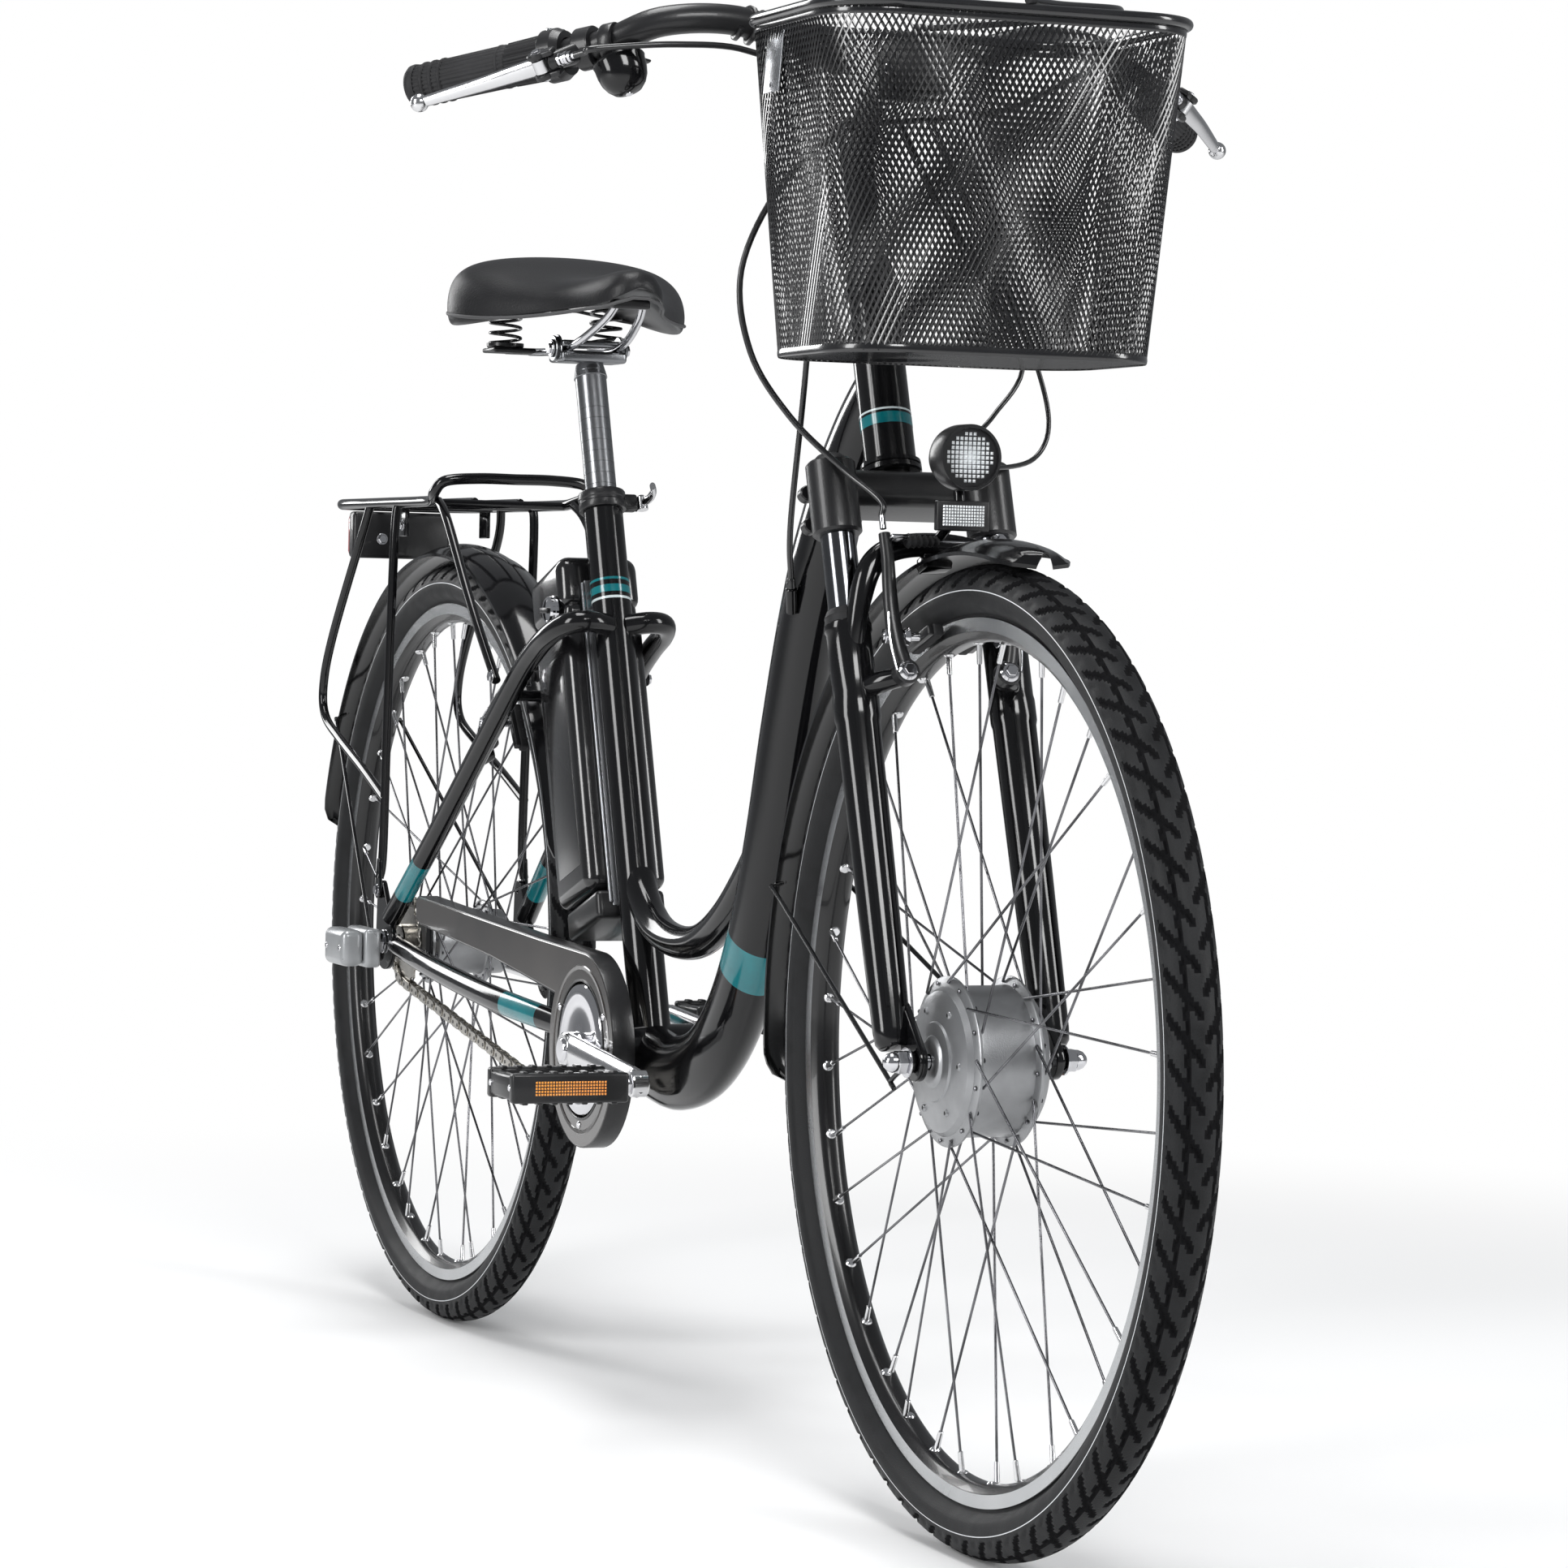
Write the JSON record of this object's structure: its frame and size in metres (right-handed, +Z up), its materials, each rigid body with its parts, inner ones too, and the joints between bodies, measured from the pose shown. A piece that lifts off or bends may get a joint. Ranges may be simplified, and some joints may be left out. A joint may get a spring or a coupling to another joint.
{
  "type": "electric city bicycle",
  "caption": "Step-through electric city bicycle with a front hub motor, battery behind the seat tube, wire basket, full fenders, rear rack and sprung saddle",
  "frame": {"origin": "on the ground under the middle of the bicycle's bounding box, with the bicycle upright", "axes": "+X forward, +Y the bicycle's left, +Z up; the drive side faces -Y"},
  "size_m": [1.9523, 0.6754, 1.1194],
  "materials": {
    "black_paint": "high-gloss black lacquer",
    "black_plastic": "moulded satin black plastic",
    "grey_plastic": "moulded grey plastic",
    "tyre_rubber": "black tread and side wall",
    "grip_rubber": "soft black rubber",
    "silver_alloy": "polished aluminium",
    "bright_steel": "bright steel",
    "dark_metal": "black coated metal with a machined band",
    "saddle_cover": "smooth synthetic leather over foam",
    "lamp_red": "clear red plastic"
  },
  "bodies": {
    "frame": {"main_frame": "black_paint", "rear_axle": "bright_steel", "shift_box": "black_plastic", "battery_dock": "black_plastic", "seat_collar": "black_paint", "rear_fender": "black_paint", "rear_rack": "black_paint", "rear_light": "lamp_red", "chain": "bright_steel", "chain_case": "grey_plastic", "rear_brake_cable": "grip_rubber"},
    "steering": {"fork_crown": "black_paint", "stem": "black_paint", "handlebar": "black_paint", "right_grip": "grip_rubber", "left_grip": "grip_rubber", "shifter_housing": "black_plastic", "right_lever_clamp": "black_plastic", "left_lever_clamp": "black_plastic", "bell": "black_paint", "basket_bracket": "black_plastic", "front_brake_cable": "grip_rubber"},
    "fork_slider": {"fork_lowers": "black_paint", "front_axle": "silver_alloy", "headlight": "black_plastic", "front_fender": "black_paint"},
    "front_wheel": {"front_tyre": "tyre_rubber", "front_rim": "dark_metal", "front_spokes": "bright_steel", "front_hub_motor": "silver_alloy"},
    "rear_wheel": {"rear_tyre": "tyre_rubber", "rear_rim": "dark_metal", "rear_spokes": "bright_steel", "rear_hub": "silver_alloy"},
    "sprocket": {"rear_sprocket": "bright_steel"},
    "crankset": {"crank_spindle": "bright_steel", "right_crank": "silver_alloy", "left_crank": "silver_alloy"},
    "pedal_right": {"right_pedal": "black_plastic"},
    "pedal_left": {"left_pedal": "black_plastic"},
    "front_arm_right": {"front_right_brake_arm": "black_plastic"},
    "front_arm_left": {"front_left_brake_arm": "black_plastic"},
    "rear_arm_right": {"rear_right_brake_arm": "black_plastic"},
    "rear_arm_left": {"rear_left_brake_arm": "black_plastic"},
    "stand": {"kickstand": "silver_alloy"},
    "battery_pack": {"battery": "black_plastic"},
    "lock_barrel": {"battery_lock": "silver_alloy"},
    "seat": {"seat_post": "silver_alloy", "saddle_frame": "bright_steel", "saddle": "saddle_cover", "left_saddle_spring": "dark_metal", "right_saddle_spring": "dark_metal"},
    "post_lever": {"seat_lever": "silver_alloy"},
    "gear_sleeve": {"twist_sleeve": "grip_rubber"},
    "lever_right": {"right_brake_lever": "silver_alloy"},
    "lever_left": {"left_brake_lever": "silver_alloy"},
    "bell_striker": {"bell_lever": "black_plastic"},
    "front_basket": {"basket": "black_paint"},
    "basket_bail": {"basket_handle": "black_plastic"},
    "basket_button": {"release_button": "lamp_red"}
  },
  "joints": [
    {"name": "steering_turn", "type": "hinge", "parent": "frame", "child": "steering", "pos_m": [0.42237, 0, 0.775], "axis": [-0.3322, 0, 0.9432], "range_deg": [-70, 70], "deforming": ["rear_brake_cable"]},
    {"name": "fork_travel", "type": "slide", "parent": "steering", "child": "fork_slider", "axis": [-0.3322, 0, 0.9432], "range_m": [0, 0.04], "stiffness_N_per_m": 10000, "springref_m": -0.012, "deforming": ["front_brake_cable"]},
    {"name": "front_wheel_spin", "type": "hinge", "parent": "fork_slider", "child": "front_wheel", "pos_m": [0.62137, 0, 0.3548], "axis": [0, 1, 0], "continuous": true},
    {"name": "rear_wheel_spin", "type": "hinge", "parent": "frame", "child": "rear_wheel", "pos_m": [-0.61463, 0, 0.3548], "axis": [0, 1, 0], "continuous": true},
    {"name": "sprocket_spin", "type": "hinge", "parent": "frame", "child": "sprocket", "pos_m": [-0.61463, 0, 0.3548], "axis": [0, 1, 0], "continuous": true},
    {"name": "crank_spin", "type": "hinge", "parent": "frame", "child": "crankset", "pos_m": [-0.06963, 0, 0.302], "axis": [0, 1, 0], "continuous": true},
    {"name": "right_pedal_spin", "type": "hinge", "parent": "crankset", "child": "pedal_right", "pos_m": [0.09995, 0, 0.29014], "axis": [0, 1, 0], "continuous": true},
    {"name": "left_pedal_spin", "type": "hinge", "parent": "crankset", "child": "pedal_left", "pos_m": [-0.23922, 0, 0.31386], "axis": [0, 1, 0], "continuous": true},
    {"name": "right_lever_squeeze", "type": "hinge", "parent": "steering", "child": "lever_right", "pos_m": [0.36137, -0.262, 1.07], "axis": [-0.1717, 0.5014, -0.848], "range_deg": [0, 9], "stiffness_Nm_per_rad": 0.5, "springref_deg": -11.46},
    {"name": "left_lever_squeeze", "type": "hinge", "parent": "steering", "child": "lever_left", "pos_m": [0.36137, 0.262, 1.07], "axis": [0.1717, 0.5014, 0.848], "range_deg": [0, 9], "stiffness_Nm_per_rad": 0.5, "springref_deg": -11.46},
    {"name": "front_left_arm_turn", "type": "hinge", "parent": "fork_slider", "child": "front_arm_left", "pos_m": [0.5529, 0.04, 0.63013], "axis": [0.9432, 0, 0.3322], "range_deg": [0, 4.5]},
    {"name": "front_right_arm_turn", "type": "hinge", "parent": "fork_slider", "child": "front_arm_right", "pos_m": [0.5529, -0.04, 0.63013], "axis": [0.9432, 0, 0.3322], "range_deg": [-4.5, 0]},
    {"name": "rear_right_arm_turn", "type": "hinge", "parent": "frame", "child": "rear_arm_right", "pos_m": [-0.40795, -0.04, 0.54914], "axis": [-0.592, 0, 0.806], "range_deg": [0, 4.5]},
    {"name": "rear_left_arm_turn", "type": "hinge", "parent": "frame", "child": "rear_arm_left", "pos_m": [-0.40795, 0.04, 0.54914], "axis": [-0.592, 0, 0.806], "range_deg": [-4.5, 0]},
    {"name": "kickstand_fold", "type": "hinge", "parent": "frame", "child": "stand", "pos_m": [-0.54463, 0.084, 0.322], "axis": [-0.0072, -0.9327, -0.3606], "range_deg": [0, 88]},
    {"name": "battery_lift", "type": "slide", "parent": "frame", "child": "battery_pack", "axis": [-0.3239, 0, 0.9461], "range_m": [0, 0.04]},
    {"name": "battery_lock_turn", "type": "hinge", "parent": "battery_pack", "child": "lock_barrel", "pos_m": [-0.24021, -0.0373, 0.66745], "axis": [0, 1, 0], "range_deg": [0, 90]},
    {"name": "seat_height", "type": "slide", "parent": "frame", "child": "seat", "axis": [-0.3239, 0, 0.9461], "range_m": [-0.08, 0.06]},
    {"name": "seat_lever_open", "type": "hinge", "parent": "frame", "child": "post_lever", "pos_m": [-0.22706, 0.0366, 0.7618], "axis": [-0.3239, 0, 0.9461], "range_deg": [0, 120]},
    {"name": "gear_sleeve_twist", "type": "hinge", "parent": "steering", "child": "gear_sleeve", "pos_m": [0.30188, -0.26385, 1.07547], "axis": [-0.7563, -0.6349, -0.158], "range_deg": [-60, 60]},
    {"name": "bell_lever_push", "type": "hinge", "parent": "steering", "child": "bell_striker", "pos_m": [0.3557, -0.19173, 1.08369], "axis": [0.3549, 0.2028, -0.9126], "range_deg": [0, 25], "stiffness_Nm_per_rad": 0.05},
    {"name": "basket_lift", "type": "slide", "parent": "steering", "child": "front_basket", "axis": [0, 0, 1], "range_m": [0, 0.05]},
    {"name": "basket_handle_swing", "type": "hinge", "parent": "front_basket", "child": "basket_bail", "pos_m": [0.44487, 0, 1.1055], "axis": [1, 0, 0], "range_deg": [0, 170]},
    {"name": "basket_release_press", "type": "slide", "parent": "steering", "child": "basket_button", "axis": [0, 0, -1], "range_m": [0, 0.002], "stiffness_N_per_m": 400}
  ],
  "couplings": [
    {"joint": "sprocket_spin", "follows": "crank_spin", "ratio": 1.7368},
    {"joint": "front_left_arm_turn", "follows": "left_lever_squeeze", "ratio": 0.5},
    {"joint": "front_right_arm_turn", "follows": "left_lever_squeeze", "ratio": -0.5},
    {"joint": "rear_right_arm_turn", "follows": "right_lever_squeeze", "ratio": 0.5},
    {"joint": "rear_left_arm_turn", "follows": "right_lever_squeeze", "ratio": -0.5}
  ]
}
